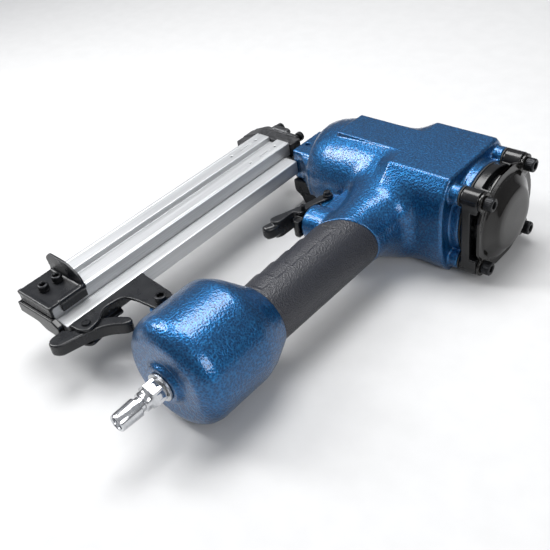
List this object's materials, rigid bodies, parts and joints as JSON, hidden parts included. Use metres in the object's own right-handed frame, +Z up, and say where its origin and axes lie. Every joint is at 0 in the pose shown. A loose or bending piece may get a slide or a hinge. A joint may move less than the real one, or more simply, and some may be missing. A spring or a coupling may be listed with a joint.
{
  "type": "pneumatic flooring nailer",
  "caption": "Pneumatic flooring nailer with a cast body, rubber grip, round air tank and plug, and a side magazine with sliding cover, trigger and tail latch.",
  "frame": {"origin": "on the flat side that the tool lies on, straight under the drive axis, at the middle of the body's square section", "axes": "+X along the drive axis from the nose to the cap, +Y away from the handle, +Z up with the tool lying on its side"},
  "size_m": [0.2334, 0.3106, 0.073],
  "materials": {
    "blue_enamel": "gloss",
    "black_enamel": "satin",
    "cover_enamel": "gloss",
    "black_oxide": "satin",
    "black_sheet": "satin",
    "nose_steel": "satin",
    "grip_rubber": "matte",
    "anodised_extrusion": "satin",
    "bare_aluminium": "satin",
    "bright_steel": "satin",
    "plug_chrome": "polished",
    "seal_rubber": "matte",
    "polymer": "satin"
  },
  "bodies": {
    "frame": {"body_casting": "blue_enamel", "head_gasket": "seal_rubber", "cylinder_head": "black_enamel", "exhaust_drum": "black_enamel", "exhaust_cover": "cover_enamel", "head_valve_spring": "bright_steel", "cap_screw_1": "black_oxide", "cap_screw_2": "black_oxide", "cap_screw_3": "black_oxide", "cap_screw_4": "black_oxide", "cylinder_sleeve": "bare_aluminium", "bumper": "polymer", "nose_rear_guide": "nose_steel", "nose_front_plate": "nose_steel", "nose_screw_1": "black_oxide", "nose_screw_2": "black_oxide", "nose_bracket": "black_sheet", "trigger_pin": "black_oxide", "trigger_stop": "black_enamel", "valve_bushing": "black_enamel", "valve_spring": "bright_steel", "grip_sleeve": "grip_rubber", "reservoir_tank": "blue_enamel", "plug_washer": "bright_steel", "air_plug": "plug_chrome", "magazine_track": "anodised_extrusion", "hanger_bracket": "black_sheet", "hanger_screw": "black_oxide", "lever_pin": "black_oxide"},
    "head_valve": {"head_valve": "polymer"},
    "driver": {"piston": "bare_aluminium", "piston_ring": "seal_rubber", "driver_blade": "bright_steel"},
    "trigger": {"trigger": "black_sheet", "striker_pin": "black_oxide"},
    "valve_plunger": {"valve_plunger": "bright_steel"},
    "magazine_cover": {"magazine_cover": "anodised_extrusion", "tail_bracket": "black_sheet", "tail_screw_1": "black_oxide", "tail_screw_2": "black_oxide", "end_plate": "black_enamel"},
    "pusher": {"pusher": "bright_steel", "pusher_spring": "bright_steel"},
    "latch_lever": {"latch_lever": "black_sheet"}
  },
  "joints": [
    {"name": "trigger_pull", "type": "hinge", "parent": "frame", "child": "trigger", "pos_m": [-0.061, -0.0475, 0.0365], "axis": [0, 0, 1], "range_deg": [0, 6.5], "stiffness_Nm_per_rad": 0.8},
    {"name": "valve_plunger_slide", "type": "slide", "parent": "frame", "child": "valve_plunger", "axis": [1, 0, 0], "range_m": [0, 0.003], "stiffness_N_per_m": 60, "deforming": ["valve_spring"]},
    {"name": "head_valve_slide", "type": "slide", "parent": "frame", "child": "head_valve", "axis": [1, 0, 0], "range_m": [0, 0.0035], "stiffness_N_per_m": 900, "deforming": ["head_valve_spring"]},
    {"name": "driver_stroke", "type": "slide", "parent": "frame", "child": "driver", "axis": [-1, 0, 0], "range_m": [0, 0.0595]},
    {"name": "magazine_slide", "type": "slide", "parent": "frame", "child": "magazine_cover", "axis": [0, -1, 0], "range_m": [0, 0.15]},
    {"name": "pusher_slide", "type": "slide", "parent": "magazine_cover", "child": "pusher", "axis": [0, 1, 0], "range_m": [0, 0.16]},
    {"name": "latch_release", "type": "hinge", "parent": "frame", "child": "latch_lever", "pos_m": [-0.1065, -0.229, 0.0365], "axis": [0, 0, 1], "range_deg": [0, 14], "stiffness_Nm_per_rad": 0.5}
  ],
  "couplings": [
    {"joint": "valve_plunger_slide", "follows": "trigger_pull", "m_per_rad": 0.0225}
  ]
}
